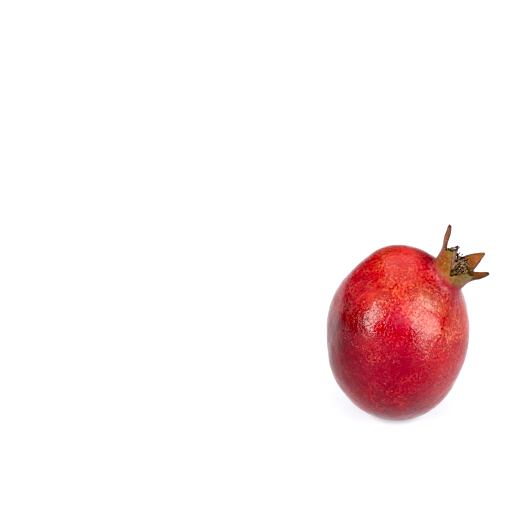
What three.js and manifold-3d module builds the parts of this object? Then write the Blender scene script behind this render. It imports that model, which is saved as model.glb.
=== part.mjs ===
// A ripe pomegranate, tipped over on the low side of its stem end, with the crown up.
// Millimetres, +Z up. The origin is the middle of the flat spot that the fruit rests on.

import * as THREE from 'three';
import { LoftGeometry } from 'three/addons/geometries/LoftGeometry.js';
import { mergeVertices } from 'three/addons/utils/BufferGeometryUtils.js';
import Module from 'manifold-3d';

const wasm = await Module();
wasm.setup();

const { degToRad, radToDeg, lerp, euclideanModulo, seededRandom } = THREE.MathUtils;

// Rind: an egg standing upright, pressed flat where it rests
const BODY_RADII = new THREE.Vector3(41.3, 43, 54);
const REST_DEPTH = 1.2;
const BODY_CENTRE = new THREE.Vector3(0, 0, BODY_RADII.z - REST_DEPTH);

// Broad flats (in) and swellings (out) of the rind: where they face, in degrees round from +X
// and up from level, how far they go out, and how wide they spread in degrees
const RIND_SWELLS = [
  { turn: 144, lift: 52, out: -3.4, spread: 22 },
  { turn: 46, lift: 57, out: -2.2, spread: 20 },
  { turn: -18, lift: -34, out: -1.6, spread: 26 },
  { turn: -163, lift: -31, out: 1.2, spread: 24 },
];

// Lengthwise ridges, one under each sepal
const RIDGES = 6;
const RIDGE_HEIGHT = 0.6;

// The growing axis runs from the stem scar to the crown, and the crown bends a little further
// over: how far each is tipped from upright and which way, in degrees
const FRUIT_TIP = 33.4;
const FRUIT_TURN = -20.8;
const CROWN_TIP = 37.4;
const CROWN_TURN = -20;

// Stem scar: a short woody stub in a shallow dimple
const SCAR_RADIUS = 2.7;
const SCAR_HEIGHT = 2.4;
const SCAR_DIMPLE = 1;
const SCAR_DIMPLE_SPREAD = 9;
const SCAR_EDGE_ANGLE = 175;

// Neck of the crown: a short trumpet that opens by a square law from its throat. The hollow at
// its foot runs from the shoulder of the rind, whose angle is measured from the growing axis.
const SHOULDER_ANGLE = 27;
const SHOULDER_HANDLE = 8.5;
const NECK_REACH = 50.6;
const THROAT_RADIUS = 11.1;
const THROAT_HANDLE = 3.5;
const TRUMPET = 0.019;
const WALL = 2.1;

// Inside of the cup below its rim, as [out, up] from the neck's base: the foot of the wall, the
// corner, the edge of the floor and its slightly raised middle
const CUP_RADIUS = THROAT_RADIUS - WALL;
const CUP_FOOT = [CUP_RADIUS, 2];
const CUP_CORNER = [CUP_RADIUS - 1, -0.2];
const CUP_FLOOR = [CUP_RADIUS - 3, -1];
const CUP_MIDDLE = [3, -0.6];

// Splits between the sepals: their angle round the crown axis from its low side, in degrees
// counterclockwise as seen from the crown's end, and how far above the neck's base each ends
const SPLITS = [
  { at: -30, up: 9.4 },
  { at: 33, up: 7.5 },
  { at: 98, up: 4.8 },
  { at: 158, up: 8 },
  { at: 218, up: 14.5 },
  { at: 272, up: 5.4 },
];

// Sepals, each between its split and the next: its length, half of its width at the tip, how late
// it narrows, its lean outward halfway and at the tip, and the radius of its cross curve at the
// tip. A broken tip is ragged or slants, and a sepal may stray sideways or twist by some degrees.
const SEPALS = [
  { length: 9.2, tip: 1.7, narrows: 0.8, middle: 42, end: 4, curl: 6, ragged: 0.5, slant: -0.6, twist: 26 },
  { length: 13.2, tip: 0.6, narrows: 1, middle: 61, end: 65, curl: 14 },
  { length: 2, tip: 5, narrows: 1, middle: 10, end: 10, curl: 12, ragged: 0.5 },
  { length: 14.6, tip: 1.75, narrows: 0.3, middle: 20, end: 21, curl: 3, twist: 50 },
  { length: 8.6, tip: 2.2, narrows: 1.1, middle: 8, end: 10, curl: 7, ragged: 0.6, slant: 2.2, stray: -24 },
  { length: 9, tip: 2.4, narrows: 1, middle: 26, end: 24, curl: 7, ragged: 0.5 },
];
const SEPAL_ROOT_DEPTH = 3;
const SEPAL_ROOT_THICKNESS = 1.9;
const SEPAL_TIP_THICKNESS = 0.9;
const SEPAL_EDGE_THICKNESS = 0.6;
const SEPAL_SINK = 0.3;

// Dried stamens: they stand in the cup on the remains of the flower's disc, the tallest in the
// middle, and lean a little towards the high side of the crown
const STAMEN_COUNT = 46;
const STAMEN_SPREAD = 6.4;
const STAMEN_TOP_MIDDLE = 14.5;
const STAMEN_TOP_EDGE = 9;
const STAMEN_TOP_STRAY = 1.5;
const STAMEN_TIP_STRAY = 0.9;
const STAMEN_LEAN = 0.6;
const STAMEN_BOW = 1.12;
const STAMEN_SEED = 7;
const FILAMENT_RADIUS = 0.42;
const ANTHER_RADIUS = 0.85;
const ANTHER_LENGTH = 2.2;
const DISC_GAP = 0.35;
const DISC_TOP = 1.9;

// The block that presses the rest flat
const GROUND_WIDTH = 60;
const GROUND_DEPTH = 20;

// Resolution of the facets, and how far along the hollow's curve each section of it stands
const RIND_COLUMNS = 40;
const RIND_ROWS = 22;
const HOLLOW_STEPS = [0.25, 0.45, 0.6, 0.72, 0.85, 1];
const SEPAL_COLUMNS = 6;
const SEPAL_ROWS = 10;
const FILAMENT_STEPS = [0, 0.35, 0.7, 1];
const DISC_SIDES = 24;

// A direction by its degrees round from +X and up from level
function facing(turn, lift) {
  const level = Math.cos(degToRad(lift));
  return new THREE.Vector3(
    level * Math.cos(degToRad(turn)),
    level * Math.sin(degToRad(turn)),
    Math.sin(degToRad(lift)),
  );
}

// An axis tipped over from upright, with two directions square to it: "down" points to the side
// that it is tipped to, and "side" follows counterclockwise as seen from the axis's end
function tippedAxis(tip, turn) {
  const axis = facing(turn, 90 - tip);
  const down = facing(turn, -tip);
  const side = new THREE.Vector3().crossVectors(axis, down);
  return { axis, down, side };
}

const fruit = tippedAxis(FRUIT_TIP, FRUIT_TURN);
const crown = tippedAxis(CROWN_TIP, CROWN_TURN);
const neckBase = BODY_CENTRE.clone().addScaledVector(fruit.axis, NECK_REACH);

// The direction square to an axis at an angle round it
function radial(frame, angle) {
  return frame.down.clone().multiplyScalar(Math.cos(angle)).addScaledVector(frame.side, Math.sin(angle));
}

// A soft mound with a height of 1 that falls away with the degrees from its middle
function mound(off, spread) {
  return Math.exp(-(1 - Math.cos(degToRad(off))) / (1 - Math.cos(degToRad(spread))));
}

// A point of the rind: "away" is the angle from the crown end of the growing axis
function rindPoint(away, round) {
  const direction = fruit.axis.clone().multiplyScalar(Math.cos(away));
  direction.addScaledVector(radial(fruit, round), Math.sin(away));
  let reach = 1 / direction.clone().divide(BODY_RADII).length();
  for (const { turn, lift, out, spread } of RIND_SWELLS) {
    reach += out * mound(radToDeg(direction.angleTo(facing(turn, lift))), spread);
  }
  const fromSplit = round - degToRad(SPLITS[0].at);
  reach -= RIDGE_HEIGHT * Math.sin(away) ** 2 * Math.cos(RIDGES * fromSplit);
  reach -= SCAR_DIMPLE * mound(180 - radToDeg(away), SCAR_DIMPLE_SPREAD);
  return BODY_CENTRE.clone().addScaledVector(direction, reach);
}

// A point in the crown: "out" from its axis and "up" from the base of the neck
function crownPoint(out, up, round) {
  return neckBase.clone().addScaledVector(radial(crown, round), out).addScaledVector(crown.axis, up);
}

function trumpetRadius(up) {
  return THROAT_RADIUS + TRUMPET * up * up;
}

// How high the rim stands at an angle round the crown: straight from each split to the next
function rimHeight(round) {
  for (const [index, split] of SPLITS.entries()) {
    const next = SPLITS[(index + 1) % SPLITS.length];
    const width = euclideanModulo(next.at - split.at, 360);
    const past = euclideanModulo(radToDeg(round) - split.at, 360);
    if (past < width) return lerp(split.up, next.up, past / width);
  }
  return SPLITS[0].up;
}

// From the stem scar over the rind to the shoulder
function rindSections(angles) {
  const scar = rindPoint(Math.PI, 0);
  const scarRing = (radius, out) => angles.map((round) => scar.clone()
    .addScaledVector(fruit.axis, -out)
    .addScaledVector(radial(fruit, round), radius));
  const sections = [
    scarRing(SCAR_RADIUS * 0.8, SCAR_HEIGHT),
    scarRing(SCAR_RADIUS, SCAR_HEIGHT * 0.8),
    scarRing(SCAR_RADIUS, SCAR_HEIGHT * 0.2),
  ];
  for (let row = 0; row <= RIND_ROWS; row++) {
    const away = degToRad(lerp(SCAR_EDGE_ANGLE, SHOULDER_ANGLE, row / RIND_ROWS));
    sections.push(angles.map((round) => rindPoint(away, round)));
  }
  return sections;
}

// From the shoulder through the hollow at its foot up into the neck
function neckSections(angles) {
  const shoulder = degToRad(SHOULDER_ANGLE);
  const curves = angles.map((round) => {
    const from = rindPoint(shoulder, round);
    const along = from.clone().sub(rindPoint(shoulder + 0.01, round)).normalize();
    const to = crownPoint(THROAT_RADIUS, 0, round);
    return new THREE.CubicBezierCurve3(
      from,
      from.clone().addScaledVector(along, SHOULDER_HANDLE),
      to.clone().addScaledVector(crown.axis, -THROAT_HANDLE),
      to,
    );
  });
  return HOLLOW_STEPS.map((t) => curves.map((curve) => curve.getPoint(t)));
}

// Up the neck, over the rim and down inside the cup to its floor
function cupSections(angles) {
  const ring = (place) => angles.map((round) => {
    const [out, up] = place(rimHeight(round));
    return crownPoint(out, up, round);
  });
  const bevel = WALL * 0.3;
  return [
    ring((rim) => [trumpetRadius(rim * 0.4), rim * 0.4]),
    ring((rim) => [trumpetRadius(rim * 0.75), rim * 0.75]),
    ring((rim) => [trumpetRadius(rim - bevel), rim - bevel]),
    ring((rim) => [trumpetRadius(rim) - bevel, rim]),
    ring((rim) => [trumpetRadius(rim) - WALL + bevel, rim]),
    ring((rim) => [trumpetRadius(rim - bevel) - WALL, rim - bevel]),
    ring((rim) => [trumpetRadius(rim * 0.5) - WALL, rim * 0.5]),
    ring(() => CUP_FOOT),
    ring(() => CUP_CORNER),
    ring(() => CUP_FLOOR),
    ring(() => CUP_MIDDLE),
  ];
}

// The midline of a sepal as steps from root to tip, each with its place, its way ahead and the
// way that its outer face looks
function sepalMidline(round, up, { length, middle, end, stray = 0, twist = 0 }) {
  const outward = radial(crown, round);
  const across = radial(crown, round + Math.PI / 2);
  const root = radToDeg(Math.atan(2 * TRUMPET * up));
  const place = crownPoint(trumpetRadius(up), up, round);
  const stride = length / SEPAL_ROWS;
  const steps = [];
  for (let row = 0; row <= SEPAL_ROWS; row++) {
    const along = row / SEPAL_ROWS;
    const lean = degToRad(lerp(lerp(root, middle, along), lerp(middle, end, along), along));
    const ahead = crown.axis.clone().multiplyScalar(Math.cos(lean)).addScaledVector(outward, Math.sin(lean));
    const face = outward.clone().multiplyScalar(Math.cos(lean)).addScaledVector(crown.axis, -Math.sin(lean));
    const turn = degToRad(twist * along);
    steps.push({
      along,
      place: place.clone(),
      ahead,
      face: face.clone().multiplyScalar(Math.cos(turn)).addScaledVector(across, Math.sin(turn)),
      across: across.clone().multiplyScalar(Math.cos(turn)).addScaledVector(face, -Math.sin(turn)),
    });
    place.addScaledVector(ahead, stride).addScaledVector(across, stride * Math.tan(degToRad(stray)));
  }
  return steps;
}

// One sepal: thin curved sections from its root, sunk in the wall of the neck, out to its tip
function sepal(shape, index) {
  const { tip, narrows, curl, ragged = 0, slant = 0 } = shape;
  const from = SPLITS[index];
  const to = SPLITS[(index + 1) % SPLITS.length];
  const width = euclideanModulo(to.at - from.at, 360);
  const rootUp = (from.up + to.up) / 2;
  const rootRadius = trumpetRadius(rootUp);
  const rootHalfWidth = (rootRadius * degToRad(width)) / 2;
  const midline = sepalMidline(degToRad(from.at + width / 2), rootUp, shape);
  const columns = Array.from({ length: SEPAL_COLUMNS + 1 }, (_, column) => column);

  // A point of the outer face, on an arc across the midline, and the way that it looks
  const onArc = ({ along, place, ahead, face, across }, column) => {
    const side = (2 * column) / SEPAL_COLUMNS - 1;
    const radius = lerp(rootRadius, curl, along);
    const arc = (side * lerp(rootHalfWidth, tip, along ** narrows)) / radius;
    const tear = ragged * along ** 6 * (column % 2 ? 1 : -1);
    const point = place.clone()
      .addScaledVector(across, Math.sin(arc) * radius)
      .addScaledVector(face, (Math.cos(arc) - 1) * radius)
      .addScaledVector(ahead, slant * along * side + tear);
    const normal = face.clone().multiplyScalar(Math.cos(arc)).addScaledVector(across, Math.sin(arc));
    return { point, normal };
  };

  // Where the same column stands on the rim, or sunk below it
  const onRim = (column, sunk) => {
    const share = column / SEPAL_COLUMNS;
    const up = lerp(from.up, to.up, share) - sunk;
    return crownPoint(trumpetRadius(up), up, degToRad(from.at + width * share));
  };

  // The outer face from edge to edge, then the inner face back again
  const section = (step, sunk, outerDepth, innerDepth) => {
    const faces = columns.map((column) => {
      const { point, normal } = onArc(step, column);
      const toRim = onRim(column, sunk).sub(onArc(midline[0], column).point);
      point.addScaledVector(toRim, 1 - step.along);
      const side = (2 * column) / SEPAL_COLUMNS - 1;
      return { point, normal, depth: lerp(innerDepth, SEPAL_EDGE_THICKNESS, side * side) };
    });
    const outer = faces.map(({ point, normal }) => point.clone().addScaledVector(normal, -outerDepth));
    const inner = faces.map(({ point, normal, depth }) => point.clone().addScaledVector(normal, -depth));
    return [...outer, ...inner.reverse()];
  };

  const sections = midline.map((step) => {
    const thickness = lerp(SEPAL_ROOT_THICKNESS, SEPAL_TIP_THICKNESS, step.along);
    return section(step, 0, 0, thickness);
  });
  sections.unshift(section(midline[0], SEPAL_ROOT_DEPTH, SEPAL_SINK, WALL - SEPAL_SINK));
  return new LoftGeometry(sections, { closed: true, capStart: true, capEnd: true });
}

// The remains of the flower's disc: a low round pad that follows the floor of the cup. Like the
// stamens it is drawn in the crown's own frame, with Z along the crown axis.
function flowerDisc() {
  const above = ([out, up]) => new THREE.Vector2(out, up + DISC_GAP);
  const profile = [
    above([0, CUP_MIDDLE[1]]),
    above(CUP_MIDDLE),
    above(CUP_FLOOR),
    above([CUP_CORNER[0] - DISC_GAP, CUP_CORNER[1]]),
    new THREE.Vector2(CUP_CORNER[0] + 0.3, DISC_TOP - 0.3),
    new THREE.Vector2(CUP_FLOOR[0], DISC_TOP - 0.5),
    new THREE.Vector2(0, DISC_TOP),
  ];
  return new THREE.LatheGeometry(profile, DISC_SIDES).rotateX(Math.PI / 2);
}

// One stamen: a square filament that bows outward and swells into an anther beyond its tip
function stamen(root, tip) {
  const bow = root.clone().lerp(tip, 0.5).multiply(new THREE.Vector3(STAMEN_BOW, STAMEN_BOW, 1));
  const filament = new THREE.QuadraticBezierCurve3(root, bow, tip);
  const ahead = filament.getTangent(1);
  const beyond = (share) => tip.clone().addScaledVector(ahead, ANTHER_LENGTH * share);
  const square = (centre, radius) => [0, 1, 2, 3].map((corner) => {
    const angle = (corner * Math.PI) / 2;
    return new THREE.Vector3(Math.cos(angle) * radius, Math.sin(angle) * radius, 0).add(centre);
  });
  const sections = [
    ...FILAMENT_STEPS.map((t) => square(filament.getPoint(t), FILAMENT_RADIUS)),
    square(beyond(0.3), ANTHER_RADIUS),
    square(beyond(0.7), ANTHER_RADIUS),
    square(beyond(1), ANTHER_RADIUS * 0.4),
  ];
  return new LoftGeometry(sections, { closed: true, capStart: true, capEnd: true });
}

// All stamens, spread evenly over the disc by the golden angle, each with a small seeded stray
function stamens() {
  seededRandom(STAMEN_SEED);
  const stray = (size) => (2 * seededRandom() - 1) * size;
  const goldenAngle = Math.PI * (3 - Math.sqrt(5));
  return Array.from({ length: STAMEN_COUNT }, (_, index) => {
    const share = (index + 0.5) / STAMEN_COUNT;
    const out = STAMEN_SPREAD * Math.sqrt(share);
    const round = index * goldenAngle;
    const root = new THREE.Vector3(out * Math.cos(round), out * Math.sin(round), DISC_TOP * 0.3);
    const top = lerp(STAMEN_TOP_MIDDLE, STAMEN_TOP_EDGE, share) + stray(STAMEN_TOP_STRAY);
    const tip = new THREE.Vector3(
      root.x - STAMEN_LEAN * (1 - share) + stray(STAMEN_TIP_STRAY),
      root.y + stray(STAMEN_TIP_STRAY),
      top - ANTHER_LENGTH,
    );
    return stamen(root, tip);
  });
}

// A closed geometry as a solid that can be joined and cut
function solidOf(geometry) {
  const bare = new THREE.BufferGeometry();
  bare.setAttribute('position', geometry.attributes.position);
  bare.setIndex(geometry.index);
  const merged = mergeVertices(bare, 1e-4);
  return new wasm.Manifold(new wasm.Mesh({
    numProp: 3,
    vertProperties: merged.attributes.position.array,
    triVerts: new Uint32Array(merged.index.array),
  }));
}

function namedMesh(name, solid, material) {
  const { vertProperties, triVerts } = solid.getMesh();
  const geometry = new THREE.BufferGeometry();
  geometry.setAttribute('position', new THREE.BufferAttribute(vertProperties, 3));
  geometry.setIndex(new THREE.BufferAttribute(triVerts, 1));
  geometry.computeVertexNormals();
  const mesh = new THREE.Mesh(geometry, material);
  mesh.name = name;
  return mesh;
}

// Rind, neck, crown and stem scar grew as one piece, pressed flat where it rests
function makePomegranate() {
  const angles = Array.from({ length: RIND_COLUMNS }, (_, column) => (column / RIND_COLUMNS) * 2 * Math.PI);
  const skin = new LoftGeometry(
    [...rindSections(angles), ...neckSections(angles), ...cupSections(angles)],
    { closed: true, capStart: true, capEnd: true },
  );
  const ground = new THREE.BoxGeometry(GROUND_WIDTH, GROUND_WIDTH, GROUND_DEPTH);
  ground.translate(0, 0, -GROUND_DEPTH / 2);
  const sepals = SEPALS.map((shape, index) => solidOf(sepal(shape, index)));
  const solid = wasm.Manifold.union([solidOf(skin).subtract(solidOf(ground)), ...sepals]);
  const material = new THREE.MeshStandardMaterial({ color: 0xb81f24, roughness: 0.38, metalness: 0 });
  return namedMesh('pomegranate', solid, material);
}

function makeStamens() {
  const solid = wasm.Manifold.union([flowerDisc(), ...stamens()].map(solidOf));
  const material = new THREE.MeshStandardMaterial({ color: 0x5b4630, roughness: 0.9, metalness: 0 });
  return namedMesh('stamens', solid, material);
}

// The crown's own frame stands at the neck's base with Z along the crown axis
const crownFrame = new THREE.Group();
const crownTurn = new THREE.Matrix4().makeBasis(crown.down, crown.side, crown.axis);
crownFrame.position.copy(neckBase);
crownFrame.quaternion.setFromRotationMatrix(crownTurn);
crownFrame.add(makeStamens());

const object = new THREE.Group();
object.add(makePomegranate(), crownFrame);

export default object;
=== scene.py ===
from math import atan2, cos, degrees, pi, radians, sin, sqrt

import bmesh
import bpy
import numpy as np
from mathutils import Matrix, Quaternion, Vector


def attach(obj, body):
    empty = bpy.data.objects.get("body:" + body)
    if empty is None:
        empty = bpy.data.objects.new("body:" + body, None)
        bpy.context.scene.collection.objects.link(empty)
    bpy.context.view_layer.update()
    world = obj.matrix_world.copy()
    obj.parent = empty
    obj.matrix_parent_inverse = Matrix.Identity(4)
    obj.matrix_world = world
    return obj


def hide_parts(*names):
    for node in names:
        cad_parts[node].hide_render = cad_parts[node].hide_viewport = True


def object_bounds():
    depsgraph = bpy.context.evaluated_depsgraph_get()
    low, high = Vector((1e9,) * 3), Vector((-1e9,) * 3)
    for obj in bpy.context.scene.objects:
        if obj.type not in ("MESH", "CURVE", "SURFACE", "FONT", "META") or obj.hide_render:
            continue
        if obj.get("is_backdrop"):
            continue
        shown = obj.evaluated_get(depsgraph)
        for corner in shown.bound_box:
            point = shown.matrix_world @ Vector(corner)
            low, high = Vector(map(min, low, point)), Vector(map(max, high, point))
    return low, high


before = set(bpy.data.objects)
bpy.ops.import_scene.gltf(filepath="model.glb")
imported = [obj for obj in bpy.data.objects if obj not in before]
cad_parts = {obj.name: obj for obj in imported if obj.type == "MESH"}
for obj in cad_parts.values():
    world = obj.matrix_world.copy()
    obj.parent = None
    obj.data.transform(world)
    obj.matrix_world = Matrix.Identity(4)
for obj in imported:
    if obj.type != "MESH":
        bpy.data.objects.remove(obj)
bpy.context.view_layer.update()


# ---- Pomegranate -----------------------------------------------------------------------------
# One grown piece: a leathery rind that narrows into a short neck, the six dried sepals of the
# crown round an open cup, and the woody stub where it was cut from its branch. It is drawn in
# millimetres as rings of points from the stub over the rind to the crown and down into the cup.

MM = 0.001
RING = 360                                  # points in a ring, one for each degree
BODY_RADII = np.array([41.3, 43.0, 54.0])
REST_DEPTH = 1.2                            # how far the egg is pressed flat where it rests
REST_SOFTNESS = 0.4
BODY_CENTRE = np.array([0, 0, BODY_RADII[2] - REST_DEPTH])

# The growing axis runs from the stub to the crown, and the crown bends a little further over: how
# far each is tipped from upright and which way, in degrees
FRUIT_TIP, FRUIT_TURN = 33.4, -20.8
CROWN_TIP, CROWN_TURN = 37.4, -20
NECK_REACH = 50.6                           # from the body's middle to the neck's base


def facing(turn, lift):
    """A direction by its degrees round from +X and up from level."""
    turn, lift = radians(turn), radians(lift)
    return np.array([cos(lift) * cos(turn), cos(lift) * sin(turn), sin(lift)])


def tipped_axis(tip, turn):
    """An axis tipped over from upright, the side it is tipped to, and the side next to that."""
    axis, low_side = facing(turn, 90 - tip), facing(turn, -tip)
    return axis, low_side, np.cross(axis, low_side)


def radial(axes, angle):
    """The direction square to an axis at an angle round it."""
    return np.cos(angle)[..., None] * axes[1] + np.sin(angle)[..., None] * axes[2]


FRUIT = tipped_axis(FRUIT_TIP, FRUIT_TURN)
CROWN = tipped_axis(CROWN_TIP, CROWN_TURN)
NECK_BASE = BODY_CENTRE + FRUIT[0] * NECK_REACH

# Splits between the sepals: degrees round the crown from its low side, height above the neck's base
SPLITS = [(-30, 9.4), (33, 7.5), (98, 4.8), (158, 8.0), (218, 14.5), (272, 5.4)]

# Flats (in) and swellings (out) of the rind: where they face, how far they go out, how wide they spread
SWELLS = [((144, 52), -3.4, 22), ((46, 57), -2.2, 20), ((-18, -34), -1.6, 26), ((-163, -31), 1.2, 24)]
RIDGE_HEIGHT = 0.6                          # one lengthwise ridge for each sepal
DIMPLE_DEPTH, DIMPLE_SPREAD = 1.0, 9        # round the stub
DENTS = [(26, 0.22, 3), (11, 0.10, 4), (4.5, 0.035, 5)]     # how far apart, how deep, seed


def mound(nearness, spread):
    """A soft mound of height 1, by the cosine of the angle from its middle."""
    return np.exp(-(1 - nearness) / (1 - cos(radians(spread))))


def lumps(points, wavelength, seed, waves=28):
    """Smooth seeded unevenness of about -1 to 1 with roughly that wavelength."""
    rng = np.random.default_rng(seed)
    ways = rng.normal(size=(waves, 3))
    ways *= (2 * pi / wavelength * rng.uniform(0.6, 1.5, waves) / np.linalg.norm(ways, axis=1))[:, None]
    return np.sin(points @ ways.T + rng.uniform(0, 2 * pi, waves)).sum(-1) / sqrt(waves * 2)


def rind_point(away, angle):
    """A point of the rind by its angle from the crown end of the growing axis and round it."""
    way = np.cos(away)[..., None] * FRUIT[0] + np.sin(away)[..., None] * radial(FRUIT, angle)
    reach = 1 / np.linalg.norm(way / BODY_RADII, axis=-1)
    for where, out, spread in SWELLS:
        reach += out * mound(way @ facing(*where), spread)
    reach -= RIDGE_HEIGHT * np.sin(away) ** 2 * np.cos(len(SPLITS) * (angle - radians(SPLITS[0][0])))
    reach -= DIMPLE_DEPTH * mound(-np.cos(away), DIMPLE_SPREAD)
    smooth = BODY_CENTRE + way * reach[..., None]
    dents = sum(depth * lumps(smooth, wavelength, seed) for wavelength, depth, seed in DENTS)
    return smooth + way * dents[..., None]


# The neck: where the rind ends, how its hollow starts and ends, how the throat flares, and how
# deep and wide a furrow is under each split
SHOULDER, SHOULDER_HANDLE = radians(27), 8.5
THROAT_RADIUS, THROAT_HANDLE, TRUMPET = 11.1, 3.5, 0.019
FURROW, FURROW_SPREAD = 0.4, 8


def soft_step(low, high, value):
    """Goes smoothly from 0 to 1 while a value goes from low to high."""
    share = np.clip((value - low) / (high - low), 0, 1)
    return share * share * (3 - 2 * share)


def crown_point(out, up, angle):
    """A point by how far it is out from the crown's axis, up from the neck's base, and round."""
    out, up = np.asarray(out, float)[..., None], np.asarray(up, float)[..., None]
    return NECK_BASE + radial(CROWN, angle) * out + CROWN[0] * up


def trumpet(up):
    """The radius of the neck at a height above its base."""
    return THROAT_RADIUS + TRUMPET * up * up


def furrow(up, angle):
    """How deep the neck is creased at an angle: most under each split, from its base up."""
    off = (angle[..., None] - np.radians([at for at, _ in SPLITS]) + pi) % (2 * pi) - pi
    return FURROW * np.exp(-(off / radians(FURROW_SPREAD)) ** 2).sum(-1) * soft_step(0, 4, up)


def wall_point(up, angle):
    """A point on the outside of the neck's wall."""
    return crown_point(trumpet(up) - furrow(up, angle), up, angle)


def wall_normal(up, angle):
    """The way that the outside of the neck's wall looks, at a height and an angle."""
    lean = np.arctan(2 * TRUMPET * up)[..., None]
    return radial(CROWN, angle) * np.cos(lean) - CROWN[0] * np.sin(lean)


def unit(vectors):
    """Vectors of the same directions and length 1."""
    return vectors / np.linalg.norm(vectors, axis=-1, keepdims=True)


# Rings of points from the stub to the rim, each with its rise: how far up the fruit it grew, in mm
# from the neck's base. It is -9 where the hollow round the neck starts, 48 less for each radian of
# the rind below that, and -150 all over the stub.
HOLLOW_RISE, RIND_STRIDE, STUB_RISE = -9, 48, -150

# The stub: each ring's share of its radius and how far it stands out, how far the middle of its end
# stands out, and where the rind starts round it
STUB_RADIUS, STUB_MIDDLE = 2.7, 2.0
STUB_RINGS = [(0.35, 2.1), (0.65, 2.25), (0.86, 2.4), (0.97, 2.2), (1.0, 1.7), (1.03, 1.0), (1.12, 0.4)]
STUB_EDGE = radians(175)
RIND_ROWS, HOLLOW_ROWS, NECK_ROWS = 140, 12, 12

ring = np.radians(np.arange(RING))
rim = np.interp(np.arange(RING), [at for at, _ in SPLITS], [up for _, up in SPLITS], period=RING)
stub_foot = rind_point(np.array([pi]), np.array([0.0]))[0]
fibres = 1 + 0.05 * np.sin(9 * ring + 1) + 0.04 * np.sin(23 * ring)
outer_rings = []
for share, out in STUB_RINGS:
    around = radial(FRUIT, ring) * (STUB_RADIUS * share * fibres)[:, None]
    outer_rings.append((stub_foot - FRUIT[0] * out + around, STUB_RISE))
for away in np.linspace(STUB_EDGE, SHOULDER, RIND_ROWS + 1):
    rise = HOLLOW_RISE - (away - SHOULDER) * RIND_STRIDE
    outer_rings.append((rind_point(np.full(RING, away), ring), rise))

# The hollow round the neck's foot is one curve from the shoulder up into the throat
shoulder = rind_point(np.full(RING, SHOULDER), ring)
onward = unit(shoulder - rind_point(np.full(RING, SHOULDER + 0.01), ring))
throat = crown_point(np.full(RING, THROAT_RADIUS), np.zeros(RING), ring)
shoulder_handle = shoulder + onward * SHOULDER_HANDLE
throat_handle = throat - CROWN[0] * THROAT_HANDLE
for t in np.linspace(0, 1, HOLLOW_ROWS + 1)[1:]:
    curve = ((1 - t) ** 3 * shoulder + 3 * t * (1 - t) ** 2 * shoulder_handle
             + 3 * t * t * (1 - t) * throat_handle + t ** 3 * throat)
    outer_rings.append((curve, HOLLOW_RISE * (1 - t)))
for share in np.linspace(0, 1, NECK_ROWS + 1)[1:]:
    outer_rings.append((wall_point(rim * share, ring), rim * share))

# Sepals, each between its split and the next: length, half width at the tip, how late it narrows,
# its lean outward halfway and at the tip, and the cross curve's radius at the tip. Then how far it
# strays sideways and twists, how its tip is ragged, slants or comes to a point, its edge's
# thickness, and its far margin: how far it is folded in, how wide it is at the tip, and how much of
# it stands out past the sepal's plain outline. Angles are in degrees.
PLAIN_SEPAL = dict(narrows=1, stray=0, twist=0, ragged=0.15, slant=0, point=0, edge=0.6,
                   fold=0, margin=1, widen=0)
SEPALS = [PLAIN_SEPAL | sepal for sepal in (
    dict(length=9.2, tip=1.7, narrows=0.8, middle=42, end=4, curl=6, twist=26, ragged=0.5, slant=-0.6,
         point=0.15),
    dict(length=13.2, tip=0.6, middle=61, end=65, curl=14, point=0.2),
    dict(length=2, tip=5, middle=10, end=10, curl=12, ragged=0.5),
    dict(length=14.6, tip=1.75, narrows=0.3, middle=20, end=21, curl=3, twist=50, point=0.4),
    dict(length=8.6, tip=2.2, narrows=1.1, middle=8, end=10, curl=7, stray=-24, ragged=0.6, slant=2.2,
         edge=1.3, fold=55, margin=2.9, widen=1.7),
    dict(length=9, tip=2.4, middle=26, end=24, curl=7, ragged=0.5),
)]
SEPAL_ROWS = 24
WALL, TIP_THICKNESS = 1.9, 0.9


def mix(low, high, share):
    """What is a share of the way from low to high."""
    return low + (high - low) * share


def sepal_span(index):
    """Where a sepal starts round the crown, how wide it is, and how high the splits beside it end."""
    (at, up), (next_at, next_up) = SPLITS[index], SPLITS[(index + 1) % len(SPLITS)]
    return at, (next_at - at) % 360, up, next_up


def spine(shape, root_up, middle):
    """A sepal's middle line: its points, and at each the ways ahead, across and out."""
    outward, sideways = radial(CROWN, middle), radial(CROWN, middle + pi / 2)
    root = degrees(atan2(2 * TRUMPET * root_up, 1))
    rows = np.linspace(0, 1, SEPAL_ROWS + 1)
    between = np.clip((rows[:-1] + rows[1:]) / 2 - 0.05, 0, 1)

    def leaning(x):
        """Its lean outward, in radians, a share of the way to its tip."""
        lean = mix(mix(root, shape["middle"], x), mix(shape["middle"], shape["end"], x), x)
        return np.radians(lean)[:, None]

    lean, turn = leaning(rows), np.radians(shape["twist"] * rows)[:, None]
    ahead = CROWN[0] * np.cos(lean) + outward * np.sin(lean)
    untwisted = outward * np.cos(lean) - CROWN[0] * np.sin(lean)
    face = untwisted * np.cos(turn) + sideways * np.sin(turn)
    across = sideways * np.cos(turn) - untwisted * np.sin(turn)
    lean = leaning(between)
    step = CROWN[0] * np.cos(lean) + outward * np.sin(lean) + sideways * np.tan(radians(shape["stray"]))
    start = crown_point(trumpet(root_up), root_up, middle)
    place = start + np.concatenate([np.zeros((1, 3)), np.cumsum(step, 0)]) * shape["length"] / SEPAL_ROWS
    return place, ahead, across, face


def cross_curve(far, slope):
    """How far points run across and drop from a sepal's middle line, by their way along its curve."""
    strides, halfway = np.diff(far, axis=1), (slope[:, 1:] + slope[:, :-1]) / 2
    run = np.pad(np.cumsum(strides * np.cos(halfway), axis=1), ((0, 0), (1, 0)))
    drop = np.pad(np.cumsum(strides * np.sin(halfway), axis=1), ((0, 0), (1, 0)))
    centre = (far.shape[1] - 1) // 2
    return run - run[:, centre:centre + 1], drop - drop[:, centre:centre + 1]


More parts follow.
